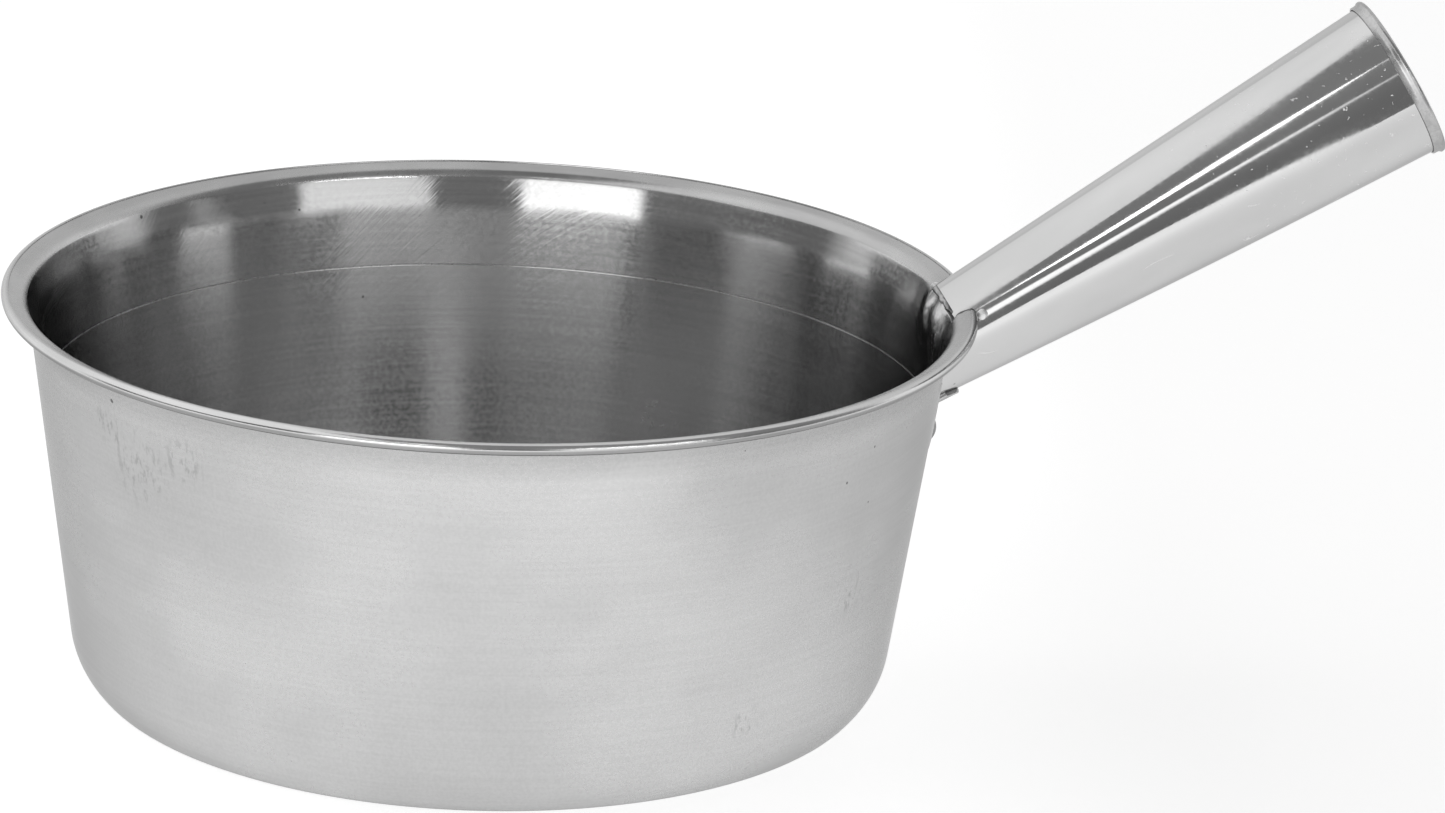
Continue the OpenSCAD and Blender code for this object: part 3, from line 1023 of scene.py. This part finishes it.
def build_lights():
    """A wide panel overhead on the left, a thin strip beside it and a thin card in front on the right."""
    near, far = Vector((-0.542, -1.5, 1.0)), Vector((-0.122, 1.5, 1.0))
    width = Vector((-2.6, 0.364, 0))
    add_panel("overhead_panel", (near, far, far + width, near + width), 1.05)
    near, far = Vector((-0.42, -1.42, 0.99)), Vector((-0.30, -0.87, 0.99))
    width = Vector((0.076, 0.017, 0))
    add_panel("strip", (near, far, far + width, near + width), 3.2)
    distance, rise, tall = 2.0, 1.01, 0.09
    bottom = [Vector((distance * sin(a), -distance * cos(a), rise)) for a in (22, 50)]
    top = [corner + Vector((0, 0, tall)) for corner in reversed(bottom)]
    add_panel("front_card", (*bottom, *top), 9.0)


def build_floor():
    """A pale floor that glows a little, more so towards the camera. Its front right corner is left out."""
    size, front, right_edge, corner, sunk = 5.0, -2.5, 0.30, -0.33, -0.0002
    outline = [(-size, front), (right_edge, front), (right_edge, corner), (size, corner), (size, size),
               (-size, size)]
    mesh = bpy.data.meshes.new("floor")
    mesh.from_pydata([CAMERA_SIDE @ Vector((x, y, sunk)) for x, y in outline], [], [tuple(range(6))])
    floor = bpy.data.objects.new("floor", mesh)
    bpy.context.scene.collection.objects.link(floor)
    material = bpy.data.materials.new("pale_floor")
    material.use_nodes = True
    shader = material.node_tree.nodes["Principled BSDF"]
    shader.inputs["Base Color"].default_value = (0.55, 0.55, 0.55, 1)
    shader.inputs["Roughness"].default_value = 0.9
    shader.inputs["Specular IOR Level"].default_value = 0.1
    shader.inputs["Emission Color"].default_value = (1, 1, 1, 1)
    g = Graph(material.node_tree)
    where = g.add("ShaderNodeTexCoord").outputs["Object"]
    nearer = g.dot(where, CAMERA_SIDE @ Vector((0, -1, 0)))
    aside = g.math("ABSOLUTE", g.dot(where, CAMERA_SIDE @ Vector((1, 0, 0))))
    g.put(shader.inputs["Emission Strength"], g.math("SUBTRACT", g.ramp(nearer, 0.1, 0.5, 0.72, 1.05),
                                                     g.ramp(aside, 0.07, 0.16, 0.0, 0.12)))
    mesh.materials.append(material)


def build_world():
    """The room: bright behind the object, two pale panels beside the camera, dark above and between."""
    world = bpy.data.worlds.new("studio")
    bpy.context.scene.world = world
    world.use_nodes = True
    g = Graph(world.node_tree)
    direction = g.add("ShaderNodeTexCoord").outputs["Generated"]
    right = g.dot(direction, CAMERA_SIDE @ Vector((1, 0, 0)))
    near = g.dot(direction, CAMERA_SIDE @ Vector((0, -1, 0)))
    turn = g.math("MULTIPLY", g.math("ARCTAN2", right, near), 180 / math.pi)
    height = g.math("MULTIPLY", g.math("ARCSINE", g.dot(direction, (0, 0, 1))), 180 / math.pi)
    right_panel = g.product(g.band(turn, 16.5, 52, 2.0), g.band(height, -4, 27, 1.5), 1.25)
    left_panel = g.product(g.band(turn, -38, -6, 2.0), g.band(height, -4, 22, 1.5), 2.3)
    panels = g.product(g.math("ADD", right_panel, left_panel), g.ramp(height, 12, 17, 1.0, 0.72))
    behind = g.ramp(g.math("ABSOLUTE", turn), 88, 110)
    above_ground = g.ramp(height, -6, 0)
    horizon = g.ramp(height, 8, 32, 0.32, 0.0)
    back = g.product(behind, above_ground, g.math("ADD", 0.78, horizon))
    dark = g.ramp(height, -5, 40, 0.2, 0.27)
    radiance = g.math("MAXIMUM", g.math("MAXIMUM", dark, back), panels)
    camera_ray = g.add("ShaderNodeLightPath").outputs["Is Camera Ray"]
    shown = g.math("MAXIMUM", radiance, camera_ray)
    g.put(world.node_tree.nodes["Background"].inputs["Color"], g.grey(shown))


def build_camera():
    """The photograph's view: 148 mm lens, 20.6 degrees above, slightly rolled.

    yaw and pitch, in radians, turn the camera off the object's centre.
    """
    elevation, distance, roll = 20.5961, 1.25, 1.7407
    yaw, pitch = -0.0394, 0.0454
    focal_pixels, frame_width = 5954.05, 1445
    back = Vector((0, -cos(elevation), sin(elevation)))
    right = Vector((1, 0, 0))
    forward = -back
    up = right.cross(forward)
    turn = Matrix.Rotation(yaw, 3, up)
    forward, right = turn @ forward, turn @ right
    turn = Matrix.Rotation(pitch, 3, right)
    forward, up = turn @ forward, turn @ up
    rolled_right = right * cos(roll) + up * sin(roll)
    rolled_up = up * cos(roll) - right * sin(roll)
    axes = Matrix((rolled_right, rolled_up, -forward)).transposed().to_4x4()
    data = bpy.data.cameras.new("camera")
    data.sensor_width = 36.0
    data.lens = focal_pixels * data.sensor_width / frame_width
    data.clip_start, data.clip_end = 0.05, 50.0
    camera = bpy.data.objects.new("camera", data)
    bpy.context.scene.collection.objects.link(camera)
    place = Matrix.Translation(back * distance) @ axes
    camera.matrix_world = Matrix.Rotation(math.radians(CAMERA_TURN), 4, "Z") @ place
    bpy.context.scene.camera = camera


def dress(piece, *materials):
    """Gives a piece its materials, in the order of their places."""
    for material in materials:
        piece.data.materials.append(material)


dress(build_pot(), steel_outside(), steel_rim(), steel_inside())
dress(build_handle(), steel_handle())
dress(build_cap(), steel_small("cap_metal", 0.5, 0.24, 0.00003))
dress(build_bracket(), steel_small("bracket_metal", 0.55, 0.25, 0.00003))
dress(build_rivets(), steel_small("rivet_metal", 0.3, 0.25, 0.00005))
dress(build_welds(), steel_weld())
build_lights()
build_floor()
build_world()
build_camera()
bpy.context.scene.view_settings.view_transform = "Standard"
